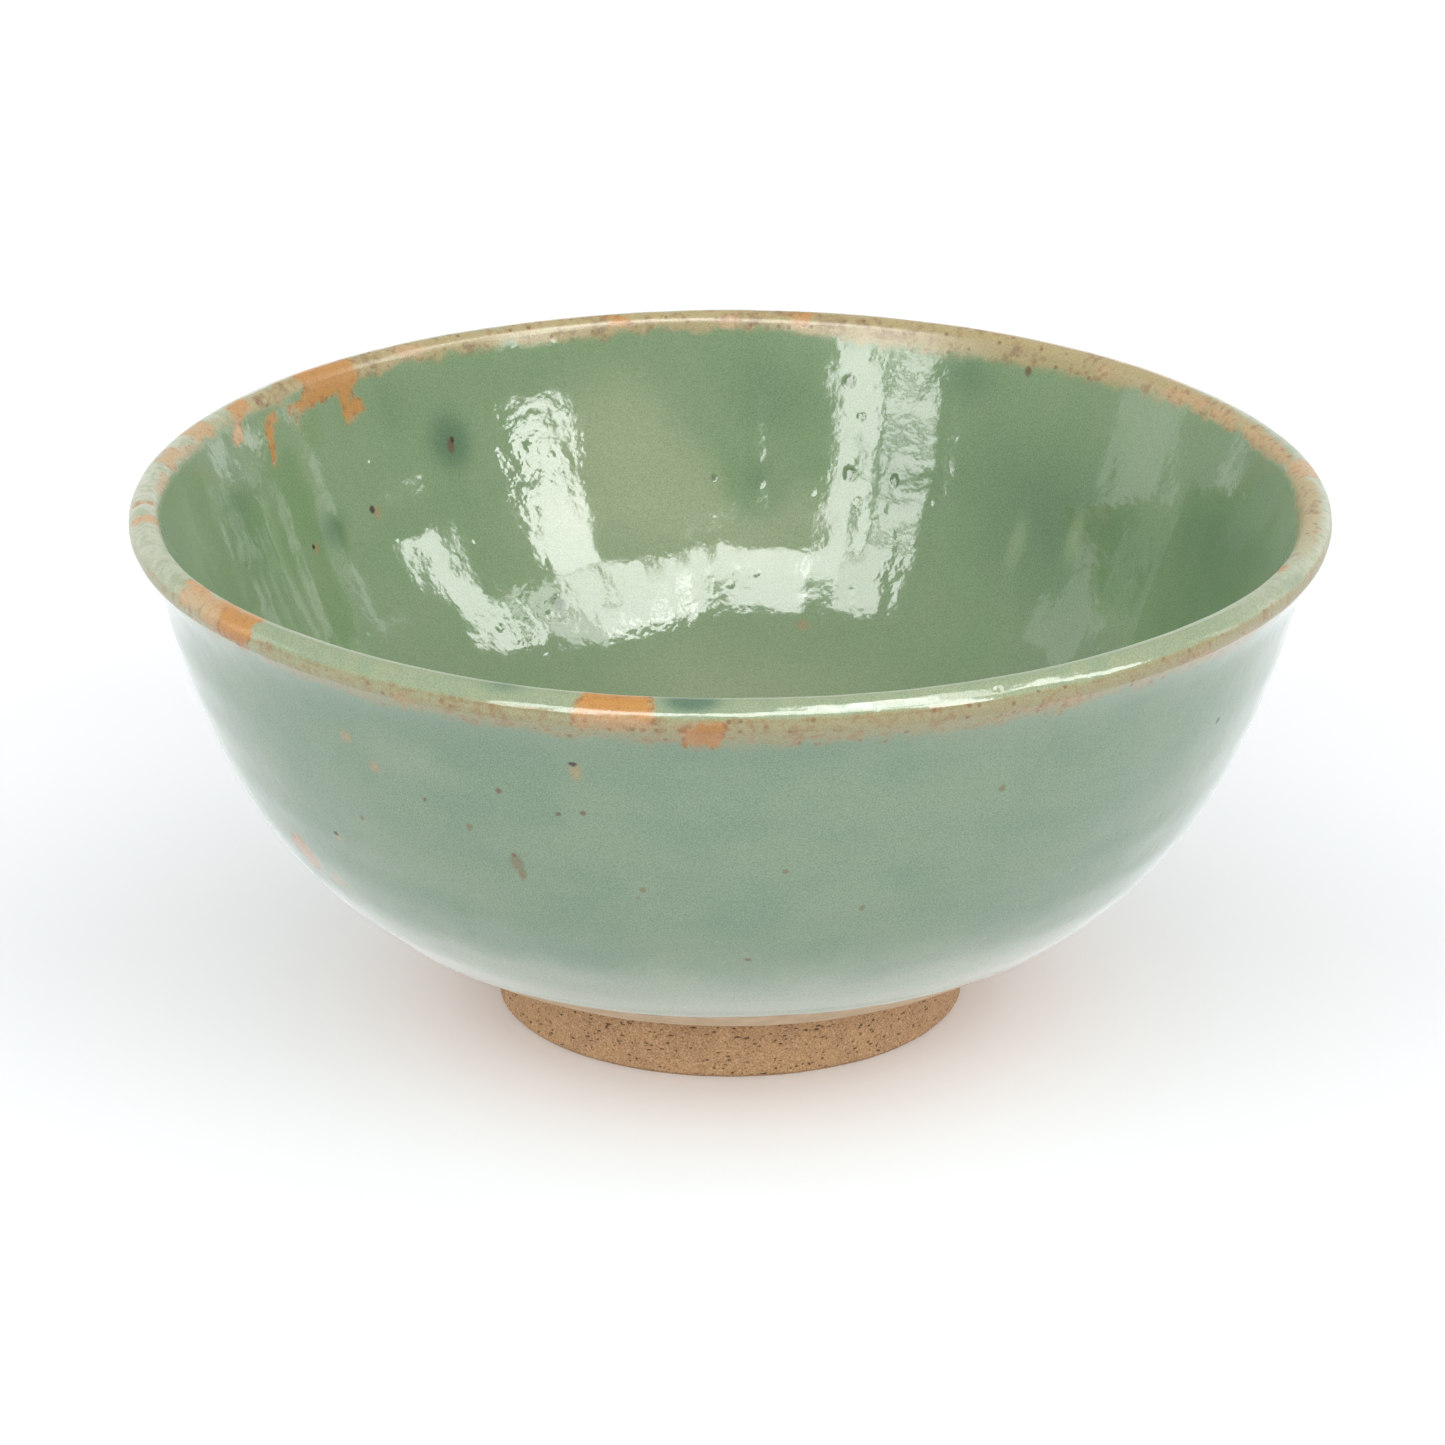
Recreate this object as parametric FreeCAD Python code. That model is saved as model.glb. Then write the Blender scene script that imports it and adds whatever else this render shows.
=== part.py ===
"""Matcha bowl: a wide, shallow thrown stoneware tea bowl on a trimmed foot ring.

Units are millimetres. +Z is up and the bowl rests on z = 0, with the origin at the
centre of the foot. Every piece is a solid of revolution about Z, so each is drawn as
a closed outline in the X-Z plane, with x as the radius, and turned once round.

The clay carries three coats of glaze and a band of slip. Neighbours share the same
curve, so they meet face to face with no gap and no overlap.
"""
import FreeCAD, Part
import math
import os

# Overall sizes
RIM_RADIUS = 70.0
BOWL_HEIGHT = 62.5

# Lip: a half-round edge, leaning outwards
LIP_THICKNESS = 3.6
LIP_OUTER_LEAN_DEG = 56.0
LIP_INNER_LEAN_DEG = 66.0

# Foot ring: its outer radius and width at the seat under the bowl, how far each side
# draws in towards the ground, and the boss on the bowl that it fits over
FOOT_RADIUS = 27.6
FOOT_RING_WIDTH = 5.6
FOOT_OUTER_DRAFT = 0.6
FOOT_INNER_DRAFT = 0.6
FOOT_HEIGHT = 7.4
FOOT_EDGE_CHAMFER = 0.4
BOSS_HEIGHT = 2.0
BOSS_HOLLOW = 0.5

# Wall at the foot, and floor over the boss
FOOT_WALL_THICKNESS = 5.8
WALL_TAPER_POWER = 1.5
FLOOR_THICKNESS = 6.1
FLOOR_DISH_RADIUS = 22.0
FLOOR_DISH_RISE = 0.8

# Coats
LIP_GLAZE_THICKNESS = 0.28
OUTER_GLAZE_THICKNESS = 0.42
INNER_GLAZE_THICKNESS = 0.46
GLAZE_POOL_THICKNESS = 0.8
SLIP_THICKNESS = 0.2
SLIP_FILLET_DROP = 1.0

# Outside of the wall, as (share of the way from foot to rim, share of the way up).
# The bare skirt lies below the place where the outer glaze stops, the wall above it.
SKIRT_SHAPE = [(0.080, 0.021), (0.222, 0.068)]
GLAZE_STOP_SHAPE = (0.370, 0.137)
WALL_SHAPE = [
    (0.528, 0.238),
    (0.693, 0.397),
    (0.811, 0.583),
    (0.896, 0.775),
    (0.943, 0.886),
]
SKIRT_LEAN_DEG = 22.0

AXIS_FOOT = FreeCAD.Vector(0, 0, 0)
UP = FreeCAD.Vector(0, 0, 1)


def point(radius, height):
    return FreeCAD.Vector(radius, 0, height)


def direction(lean_deg):
    """Unit vector that climbs outwards at this angle above the horizontal."""
    angle = math.radians(lean_deg)
    return point(math.cos(angle), math.sin(angle))


def outward_normal(tangent):
    """Normal on the outer side of a curve that climbs from the foot to the rim."""
    return point(tangent.z, -tangent.x).normalize()


def smooth_curve(points, first_tangent, last_tangent):
    curve = Part.BSplineCurve()
    curve.interpolate(
        Points=points, InitialTangent=first_tangent, FinalTangent=last_tangent, Scale=False
    )
    return curve


def tangent_at(curve, place):
    return curve.tangent(curve.parameter(place))[0]


def moved_out(curve, place, distance):
    """Place on the curve, moved along the outward normal there."""
    return place + outward_normal(tangent_at(curve, place)) * distance


def line(start, end):
    return Part.makeLine(start, end)


def turned(edges):
    """Solid made by turning a closed outline once round the bowl's axis."""
    outline = Part.Wire(Part.__sortEdges__(edges))
    return Part.Face(outline).revolve(AXIS_FOOT, UP, 360)


def wall_place(shape):
    across, up = shape
    return point(
        FOOT_RADIUS + across * (RIM_RADIUS - FOOT_RADIUS),
        FOOT_HEIGHT + up * (BOWL_HEIGHT - FOOT_HEIGHT),
    )


def wall_thickness(place):
    """Thickness of the wall, thin at the lip and growing towards the foot."""
    below_rim = (BOWL_HEIGHT - place.z) / (BOWL_HEIGHT - FOOT_HEIGHT)
    growth = FOOT_WALL_THICKNESS - LIP_THICKNESS
    return LIP_THICKNESS + growth * below_rim ** WALL_TAPER_POWER


# Lip: where the outer and inner surfaces run into its half-round edge
lip_radius = LIP_THICKNESS / 2
lip_centre = point(RIM_RADIUS - lip_radius, BOWL_HEIGHT - lip_radius)
lip_outer_normal = outward_normal(direction(LIP_OUTER_LEAN_DEG))
lip_inner_normal = outward_normal(direction(LIP_INNER_LEAN_DEG)) * -1
lip_outer_end = lip_centre + lip_outer_normal * lip_radius
lip_inner_end = lip_centre + lip_inner_normal * lip_radius
clay_lip_radius = lip_radius - LIP_GLAZE_THICKNESS
clay_lip_outer_end = lip_centre + lip_outer_normal * clay_lip_radius
clay_lip_inner_end = lip_centre + lip_inner_normal * clay_lip_radius

# Foot: the seat where the ring meets the bowl, and the boss inside the ring
seat_edge = point(FOOT_RADIUS, FOOT_HEIGHT)
boss_root = point(FOOT_RADIUS - FOOT_RING_WIDTH, FOOT_HEIGHT)
boss_edge = boss_root - UP * BOSS_HEIGHT
foot_outer_corner = point(FOOT_RADIUS - FOOT_OUTER_DRAFT, FOOT_EDGE_CHAMFER)
foot_inner_corner = point(boss_root.x + FOOT_INNER_DRAFT, FOOT_EDGE_CHAMFER)

# Outside: the finished surface, and the clay under its glaze and slip
skirt_places = [wall_place(shape) for shape in SKIRT_SHAPE]
glaze_stop = wall_place(GLAZE_STOP_SHAPE)
wall_places = [wall_place(shape) for shape in WALL_SHAPE]
outside = smooth_curve(
    skirt_places + [glaze_stop] + wall_places + [lip_outer_end],
    direction(SKIRT_LEAN_DEG),
    direction(LIP_OUTER_LEAN_DEG),
)

stop_tangent = tangent_at(outside, glaze_stop)
clay_glaze_stop = moved_out(outside, glaze_stop, -OUTER_GLAZE_THICKNESS)
clay_skirt_places = [moved_out(outside, place, -OUTER_GLAZE_THICKNESS) for place in skirt_places]
clay_skirt = smooth_curve(
    [seat_edge] + clay_skirt_places + [clay_glaze_stop], direction(SKIRT_LEAN_DEG), stop_tangent
)
clay_wall_places = [moved_out(outside, place, -OUTER_GLAZE_THICKNESS) for place in wall_places]
clay_wall = smooth_curve(
    [clay_glaze_stop] + clay_wall_places + [clay_lip_outer_end],
    stop_tangent,
    direction(LIP_OUTER_LEAN_DEG),
)

slip_depth = OUTER_GLAZE_THICKNESS - SLIP_THICKNESS
slip_top = moved_out(outside, glaze_stop, -slip_depth)
slip_places = [moved_out(outside, place, -slip_depth) for place in skirt_places]
slip_outside = smooth_curve(slip_places + [slip_top], direction(SKIRT_LEAN_DEG), stop_tangent)

# Inside: the finished surface, and the clay under its glaze
floor_centre = point(0, boss_edge.z + FLOOR_THICKNESS)
inside_wall = [point(FLOOR_DISH_RADIUS, floor_centre.z + FLOOR_DISH_RISE)]
for place in [skirt_places[-1], glaze_stop] + wall_places[:-1]:
    inside_wall.append(moved_out(outside, place, -wall_thickness(place)))
inside = smooth_curve(
    [floor_centre] + inside_wall + [lip_inner_end],
    direction(0),
    direction(LIP_INNER_LEAN_DEG),
)

clay_floor_centre = floor_centre - UP * GLAZE_POOL_THICKNESS
clay_inside_wall = [moved_out(inside, place, INNER_GLAZE_THICKNESS) for place in inside_wall]
clay_inside = smooth_curve(
    [clay_floor_centre] + clay_inside_wall + [clay_lip_inner_end],
    direction(0),
    direction(LIP_INNER_LEAN_DEG),
)


def lip_arc(outer_end, inner_end, radius):
    return Part.Arc(outer_end, lip_centre + UP * radius, inner_end).toShape()


def make_clay_body():
    """Thrown wall and floor. Its underside has a flat seat for the foot ring, round a
    low boss that the ring fits over."""
    boss_centre = point(0, boss_edge.z + BOSS_HOLLOW)
    return turned([
        line(boss_centre, boss_edge),
        line(boss_edge, boss_root),
        line(boss_root, seat_edge),
        clay_skirt.toShape(),
        clay_wall.toShape(),
        lip_arc(clay_lip_outer_end, clay_lip_inner_end, clay_lip_radius),
        clay_inside.toShape(),
        line(clay_floor_centre, boss_centre),
    ])


def make_foot_ring():
    """Ring of coarser clay, drawn in towards the ground and chamfered there."""
    corners = [
        point(foot_inner_corner.x + FOOT_EDGE_CHAMFER, 0),
        point(foot_outer_corner.x - FOOT_EDGE_CHAMFER, 0),
        foot_outer_corner,
        seat_edge,
        boss_root,
        boss_edge,
        foot_inner_corner,
    ]
    return turned([line(corners[i - 1], corners[i]) for i in range(len(corners))])


def make_slip_band():
    """Thin slip over the bare skirt, with a sloping fillet over the joint with the foot."""
    foot_side = (seat_edge - foot_outer_corner).normalize()
    fillet_foot = seat_edge - foot_side * SLIP_FILLET_DROP
    fillet_top = slip_places[0]
    return turned([
        line(fillet_foot, fillet_top),
        slip_outside.toShape(),
        line(slip_top, clay_glaze_stop),
        clay_skirt.toShape(),
        line(seat_edge, fillet_foot),
    ])


def make_outer_glaze():
    """Blue-green glaze on the outside, from its lower edge up to the lip."""
    return turned([
        line(clay_glaze_stop, glaze_stop),
        outside.toShape(outside.parameter(glaze_stop), outside.parameter(lip_outer_end)),
        line(lip_outer_end, clay_lip_outer_end),
        clay_wall.toShape(),
    ])


def make_inner_glaze():
    """Sage glaze on the inside, thickest where it pools on the floor."""
    return turned([
        line(floor_centre, clay_floor_centre),
        clay_inside.toShape(),
        line(clay_lip_inner_end, lip_inner_end),
        inside.toShape(),
    ])


def make_lip_glaze():
    """Thin glaze over the lip, between the inner and outer coats."""
    return turned([
        lip_arc(lip_outer_end, lip_inner_end, lip_radius),
        line(lip_inner_end, clay_lip_inner_end),
        lip_arc(clay_lip_outer_end, clay_lip_inner_end, clay_lip_radius),
        line(clay_lip_outer_end, lip_outer_end),
    ])


pieces = {
    "clay_body": make_clay_body(),
    "foot_ring": make_foot_ring(),
    "slip_band": make_slip_band(),
    "outer_glaze": make_outer_glaze(),
    "inner_glaze": make_inner_glaze(),
    "lip_glaze": make_lip_glaze(),
}

os.makedirs("parts", exist_ok=True)
for name, piece in pieces.items():
    piece.exportStep("parts/" + name + ".step")
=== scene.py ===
import math

import bpy
import numpy as np
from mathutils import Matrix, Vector


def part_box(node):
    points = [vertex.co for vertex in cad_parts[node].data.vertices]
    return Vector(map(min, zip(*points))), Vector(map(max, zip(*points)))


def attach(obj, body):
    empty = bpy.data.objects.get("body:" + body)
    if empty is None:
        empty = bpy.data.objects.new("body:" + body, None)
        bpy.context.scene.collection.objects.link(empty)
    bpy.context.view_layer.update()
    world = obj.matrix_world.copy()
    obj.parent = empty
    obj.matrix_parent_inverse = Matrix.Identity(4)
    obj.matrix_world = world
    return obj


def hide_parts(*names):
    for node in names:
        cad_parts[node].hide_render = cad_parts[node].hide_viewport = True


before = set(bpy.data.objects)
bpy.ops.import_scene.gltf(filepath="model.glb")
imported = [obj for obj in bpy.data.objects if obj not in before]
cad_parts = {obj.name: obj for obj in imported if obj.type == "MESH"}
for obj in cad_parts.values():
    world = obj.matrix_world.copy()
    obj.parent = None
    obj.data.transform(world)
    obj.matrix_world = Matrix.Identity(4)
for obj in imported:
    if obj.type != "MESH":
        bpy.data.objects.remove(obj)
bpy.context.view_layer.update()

MM = 0.001


# ---------------------------------------------------------------- sizes, in millimetres

lip_low, lip_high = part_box("lip_glaze")
ring_low, ring_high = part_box("foot_ring")
RIM_RADIUS = lip_high.x / MM
BOWL_HEIGHT = lip_high.z / MM
FOOT_RADIUS = ring_high.x / MM
FOOT_HEIGHT = ring_high.z / MM
FOOT_RING_WIDTH = 5.6
FOOT_DRAFT = 0.6
RECESS_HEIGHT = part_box("clay_body")[0].z / MM
RECESS_RISE = 0.5
FLOOR_THICKNESS = 6.1
FLOOR_TOP = RECESS_HEIGHT + FLOOR_THICKNESS
FLOOR_DISH = (22.0, 0.8)
LIP_THICKNESS = 3.6
LIP_OUTER_LEAN = 56.0
LIP_INNER_LEAN = 66.0
FOOT_WALL_THICKNESS = 5.8
WALL_TAPER_POWER = 1.5
OUTER_GLAZE = 0.42
INNER_GLAZE = 0.46
LIP_GLAZE = 0.28
SLIP_THICKNESS = 0.2
RIM_LIFT = 0.12
SKIRT_LEAN = 22.0
SKIRT_SHAPE = [(0.080, 0.021), (0.222, 0.068)]
GLAZE_STOP_SHAPE = (0.370, 0.137)
WALL_SHAPE = [(0.528, 0.238), (0.693, 0.397), (0.811, 0.583), (0.896, 0.775), (0.943, 0.886)]


# ---------------------------------------------------------------- the bowl's outline

def direction(lean):
    return np.array([math.cos(math.radians(lean)), math.sin(math.radians(lean))])


def outward(tangent):
    return np.stack([tangent[..., 1], -tangent[..., 0]], -1) / np.linalg.norm(tangent, axis=-1)[..., None]


class Curve:
    """Smooth curve through (radius, height) points, with a set direction at each end."""

    def __init__(self, points, first, last):
        self.points = np.array(points, float)
        steps = np.linalg.norm(np.diff(self.points, axis=0), axis=1)
        self.knots = np.concatenate([[0.0], np.cumsum(steps)])
        count = len(self.points)
        system = np.eye(count)
        wanted = np.zeros((count, 2))
        wanted[0], wanted[-1] = first, last
        for i in range(1, count - 1):
            before, after = steps[i - 1], steps[i]
            system[i, i - 1:i + 2] = [1 / before, 2 / before + 2 / after, 1 / after]
            into = (self.points[i] - self.points[i - 1]) / before ** 2
            out_of = (self.points[i + 1] - self.points[i]) / after ** 2
            wanted[i] = 3 * (into + out_of)
        self.slopes = np.linalg.solve(system, wanted)
        self.length = self.knots[-1]

    def at(self, u):
        """Places and directions at the distances u along the curve."""
        u = np.atleast_1d(np.asarray(u, float))
        i = np.clip(np.searchsorted(self.knots, u, side="right") - 1, 0, len(self.knots) - 2)
        step = (self.knots[i + 1] - self.knots[i])[:, None]
        t = (u - self.knots[i])[:, None] / step
        a, b = self.points[i], self.points[i + 1]
        m, n = self.slopes[i] * step, self.slopes[i + 1] * step
        place = (2 * t**3 - 3 * t**2 + 1) * a + (t**3 - 2 * t**2 + t) * m
        place += (3 * t**2 - 2 * t**3) * b + (t**3 - t**2) * n
        slope = 6 * (t**2 - t) * (a - b) + (3 * t**2 - 4 * t + 1) * m + (3 * t**2 - 2 * t) * n
        return place, slope


def wall_place(shape):
    return np.array([
        FOOT_RADIUS + shape[0] * (RIM_RADIUS - FOOT_RADIUS),
        FOOT_HEIGHT + shape[1] * (BOWL_HEIGHT - FOOT_HEIGHT),
    ])


def wall_thickness(place):
    below_rim = (BOWL_HEIGHT - place[1]) / (BOWL_HEIGHT - FOOT_HEIGHT)
    return LIP_THICKNESS + (FOOT_WALL_THICKNESS - LIP_THICKNESS) * below_rim ** WALL_TAPER_POWER


lip_radius = LIP_THICKNESS / 2
lip_centre = np.array([RIM_RADIUS - lip_radius, BOWL_HEIGHT - lip_radius])
outer_lean, inner_lean = direction(LIP_OUTER_LEAN), direction(LIP_INNER_LEAN)
lip_outer_end = lip_centre + outward(outer_lean) * lip_radius
lip_inner_end = lip_centre - outward(inner_lean) * lip_radius
OUTSIDE = Curve(
    [wall_place(s) for s in SKIRT_SHAPE + [GLAZE_STOP_SHAPE] + WALL_SHAPE] + [lip_outer_end],
    direction(SKIRT_LEAN),
    outer_lean,
)
wall_points = [OUTSIDE.at(k) for k in OUTSIDE.knots[1:-2]]
INSIDE = Curve(
    [(0.0, FLOOR_TOP), (FLOOR_DISH[0], FLOOR_TOP + FLOOR_DISH[1])]
    + [p[0] - outward(d[0]) * wall_thickness(p[0]) for p, d in wall_points]
    + [lip_inner_end],
    direction(0.0),
    inner_lean,
)
LIP_FROM = math.radians(LIP_OUTER_LEAN - 90.0)
LIP_TO = math.radians(LIP_INNER_LEAN + 90.0)
LIP_LENGTH = lip_radius * (LIP_TO - LIP_FROM)
GLAZE_STOP = OUTSIDE.knots[len(SKIRT_SHAPE)] - OUTSIDE.length
FLOOR_CENTRE = LIP_LENGTH + INSIDE.length
SKIRT_FROM = -OUTSIDE.length


def surface(q):
    """Place and outward normal on the finished surface. q is the distance in millimetres
    along the outline: 0 where the outside meets the lip, negative down the outside, and
    positive over the lip and down the inside to the centre of the floor."""
    q = np.atleast_1d(np.asarray(q, float))
    place = np.zeros((len(q), 2))
    normal = np.zeros((len(q), 2))
    out = q < 0
    over = (q >= 0) & (q <= LIP_LENGTH)
    inn = q > LIP_LENGTH
    if out.any():
        place[out], slope = OUTSIDE.at(OUTSIDE.length + q[out])
        normal[out] = outward(slope)
    if over.any():
        angle = LIP_FROM + q[over] / lip_radius
        normal[over] = np.stack([np.cos(angle), np.sin(angle)], -1)
        place[over] = lip_centre + normal[over] * lip_radius
    if inn.any():
        place[inn], slope = INSIDE.at(FLOOR_CENTRE - q[inn])
        normal[inn] = -outward(slope)
    return place, normal


# ---------------------------------------------------------------- the potter's unevenness

LIP_RADIUS_MEAN = 69.0
GLAZE_STOP_RADIUS = 43.0
MID_WALL_RADIUS = 40.0
SEAM = 75.0
FOOT_OUT_OF_ROUND = 0.4
OUT_OF_ROUND = [(2, 0.0025, 70.0), (3, 0.0015, 20.0)]
RIM_WAVES = [(1, 0.52, 4.0), (2, 0.12, 10.0), (3, 0.08, 200.0), (5, 0.05, 90.0), (8, 0.03, 0.0)]
GLAZE_STOP_SWAY = [(1, 0.9, 75.0), (2, 0.35, 20.0), (5, 0.15, 40.0)]
RING_PITCH_OUTSIDE = 6.8
RING_PITCH_INSIDE = 8.3
RECESS_DEPTH_BACK_LEFT = 1.4
FULLNESS_FRONT = 0.5


def waves(theta, terms):
    """Sum of waves round the bowl, each (how many, size, where it peaks in degrees)."""
    return sum(size * np.cos(count * theta - math.radians(peak)) for count, size, peak in terms)


def noise(points, size, seed, octaves=1):
    """Smooth noise of about -1 to 1 whose features are about this many millimetres across."""
    dice = np.random.default_rng(seed)
    heights = dice.uniform(-1.0, 1.0, 4096)
    shuffle = dice.permutation(4096)
    total = np.zeros(points.shape[:-1])
    for octave in range(octaves):
        place = points / size * 2**octave + 31.7 * (octave + 1)
        cell = np.floor(place).astype(int)
        part = place - cell
        part = part * part * (3 - 2 * part)
        for corner in range(8):
            step = np.array([corner & 1, corner >> 1 & 1, corner >> 2])
            a, b, c = np.moveaxis(cell + step, -1, 0)
            pick = shuffle[(shuffle[(shuffle[a & 4095] + b) & 4095] + c) & 4095]
            weight = np.where(step, part, 1 - part).prod(axis=-1)
            total += heights[pick] * weight / 2**octave
    return total


def smooth_step(value, low, high):
    t = np.clip((value - low) / (high - low), 0.0, 1.0)
    return t * t * (3 - 2 * t)


def round_at(theta, radius, height):
    """Places at this direction, distance from the axis and height."""
    return np.stack([radius * np.sin(theta), -radius * np.cos(theta), height + 0 * theta], -1)


def thrown(theta, radius, height):
    """Where a place on the true round bowl lies on the hand-made one. theta is measured
    from the front, positive towards +X."""
    up = np.clip(height / BOWL_HEIGHT, 0.0, 1.0)
    radius = radius * (1 + up * waves(theta, OUT_OF_ROUND))
    height = height + up**3 * (waves(theta, RIM_WAVES) + RIM_LIFT)
    return round_at(theta, radius, height)


def glaze_stop(theta):
    """Where the outside glaze ran to a stop above the foot, as a distance along the outline."""
    ring = round_at(theta, GLAZE_STOP_RADIUS, 0.0)
    return GLAZE_STOP + waves(theta, GLAZE_STOP_SWAY) + 0.18 * noise(ring, 4.0, 11, 2)


def wall_relief(theta, q, place):
    """Height of the glazed surface over the true outline."""
    rings_out = np.sin(2 * math.pi * q / RING_PITCH_OUTSIDE + theta)
    rings_in = np.sin(2 * math.pi * q / RING_PITCH_INSIDE - theta)
    faded = 0.5 + 0.5 * noise(place, 22.0, 3)
    round_the_bowl = round_at(theta, MID_WALL_RADIUS, 0.04 * q)
    outside = smooth_step(-q, 1.0, 8.0)
    inside = smooth_step(q, LIP_LENGTH + 2.0, LIP_LENGTH + 12.0)
    middle = smooth_step(FLOOR_CENTRE - q, 0.0, 8.0)
    relief = faded * (0.055 * outside * rings_out + 0.05 * inside * middle * rings_in)
    relief += 0.10 * noise(place, 14.0, 4) * (outside + inside)
    relief += 0.05 * noise(round_the_bowl, 2.6, 7, 2) * inside * middle
    # the wall stands more upright just below the rim at the back left
    back_left = smooth_step(np.cos(theta - math.radians(-150.0)), 0.80, 0.93)
    recess = smooth_step(q, 4.0, 17.0) * smooth_step(q, 66.0, 19.0)
    relief -= RECESS_DEPTH_BACK_LEFT * back_left * recess
    # and the lip is a little fuller inside at the front
    front = smooth_step(np.cos(theta), 0.2, 0.9)
    relief += FULLNESS_FRONT * front * smooth_step(q, 2.6, 4.4) * smooth_step(q, 16.0, 6.0)
    relief += 0.035 * noise(place, 4.5, 5) + 0.014 * noise(place, 2.0, 6)
    return relief


# ---------------------------------------------------------------- places on the bowl

def lip_at(angle):
    """Distance along the outline of this angle round the lip: 0 faces out, 90 faces up."""
    return lip_radius * (math.radians(angle) - LIP_FROM)


def outside_at(height):
    qs = np.linspace(SKIRT_FROM, 0.0, 400)
    return float(np.interp(height, surface(qs)[0][:, 1], qs))


def inside_at(height):
    qs = np.linspace(FLOOR_CENTRE, LIP_LENGTH, 600)
    return float(np.interp(height, surface(qs)[0][:, 1], qs))


def arc(degrees):
    """Millimetres round the bowl, measured at the rim."""
    return degrees * math.pi / 180 * LIP_RADIUS_MEAN


def from_seam(degrees):
    """The same direction, counted so that the seam is at both ends of the count."""
    return (degrees - SEAM) % 360.0 + SEAM - 360.0


def across(theta, degrees):
    """Millimetres round the bowl from this direction, measured at the rim."""
    return arc(np.mod(np.degrees(theta) - degrees + 180.0, 360.0) - 180.0)


def round_box(theta, q, centre, half, tilt):
    """Distance in millimetres inside a soft-cornered patch, negative outside it."""
    x = across(theta, centre[0])
    y = q - centre[1]
    c, s = math.cos(math.radians(tilt)), math.sin(math.radians(tilt))
    x, y = c * x + s * y, c * y - s * x
    corner = 0.6 * min(half)
    out_x, out_y = np.abs(x) - half[0] + corner, np.abs(y) - half[1] + corner
    beyond = np.hypot(np.maximum(out_x, 0), np.maximum(out_y, 0))
    return corner - beyond - np.minimum(np.maximum(out_x, out_y), 0)


# Bare or nearly bare patches, orange where the thin glaze shows the clay: where round the
# bowl (degrees), where along the outline, half sizes round and along in mm, tilt, strength
PATCHES = [
    (-52.6, lip_at(50), 3.6, 2.5, 4, 1.1),
    (-56.8, lip_at(40), 2.6, 2.2, 0, 0.55),
    (-61.0, lip_at(84), 4.2, 1.2, -6, 0.72),
    (-60.5, lip_at(38), 3.0, 1.7, 0, 0.45),
    (-10.5, lip_at(74), 4.35, 2.05, 0, 1.0),
    (-10.6, lip_at(2), 4.4, 1.3, 0, 0.42),
    (-2.5, -0.4, 2.8, 2.0, 0, 0.84),
    (-132.6, 5.4, 4.8, 2.2, 0, 0.92),
    (-130.4, 7.2, 3.4, 1.1, 0, 0.9),
    (-127.6, 8.0, 2.6, 0.8, 0, 0.8),
    (-122.6, 8.1, 1.15, 0.8, 20, 0.75),
    (-121.4, 10.6, 0.75, 2.6, -14, 0.85),
    (-134.2, 8.6, 0.9, 1.6, -20, 0.85),
    (-135.4, 10.2, 1.5, 0.8, 0, 0.85),
    (-134.2, 11.4, 0.9, 0.9, 0, 0.7),
    (-126.4, 9.6, 0.35, 1.3, -10, 0.40),
    (-118.3, 5.1, 2.5, 1.6, 0, 0.75),
    (-116.4, 7.2, 1.3, 1.8, -16, 0.65),
    (-110.6, 4.6, 2.9, 2.0, 0, 0.58),
    (-105.6, 5.7, 2.4, 0.7, 0, 0.42),
    (-101.6, 4.3, 3.0, 1.5, 0, 0.55),
    (-94.5, 5.3, 3.6, 0.6, 0, 0.50),
    (-88.0, 3.9, 0.55, 1.6, 0, 0.65),
    (-83.0, 4.1, 1.6, 2.1, 20, 0.62),
    (-57.4, outside_at(30.4), 2.6, 3.0, 22, 0.80),
    (-53.6, outside_at(27.6), 2.2, 0.9, 30, 0.35),
    (97.5, lip_at(92), 3.4, 1.7, 0, 0.52),
    (105.0, 5.1, 4.4, 0.8, 0, 0.42),
    (67.8, lip_at(115), 0.9, 0.6, 0, 0.70),
    (124.0, 5.6, 4.2, 0.8, 0, 0.50),
    (117.0, 5.7, 3.0, 0.9, 0, 0.45),
    (110.5, 5.6, 3.4, 0.9, 0, 0.42),
    (135.0, 5.8, 2.8, 0.7, 0, 0.42),
    (-168.2, 5.2, 1.5, 1.0, 0, 0.85),
    (180.0, 5.9, 0.9, 1.2, 0, 0.45),
    (172.5, 5.4, 1.4, 1.2, 0, 0.75),
    (-144.0, 5.0, 2.2, 0.9, 0, 0.45),
    (-30.5, 0.0, 1.6, 0.7, 0, 0.40),
    (52.0, 0.0, 6.5, 0.8, 0, 0.34),
    (30.0, -0.1, 4.5, 0.7, 0, 0.30),
]

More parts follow.
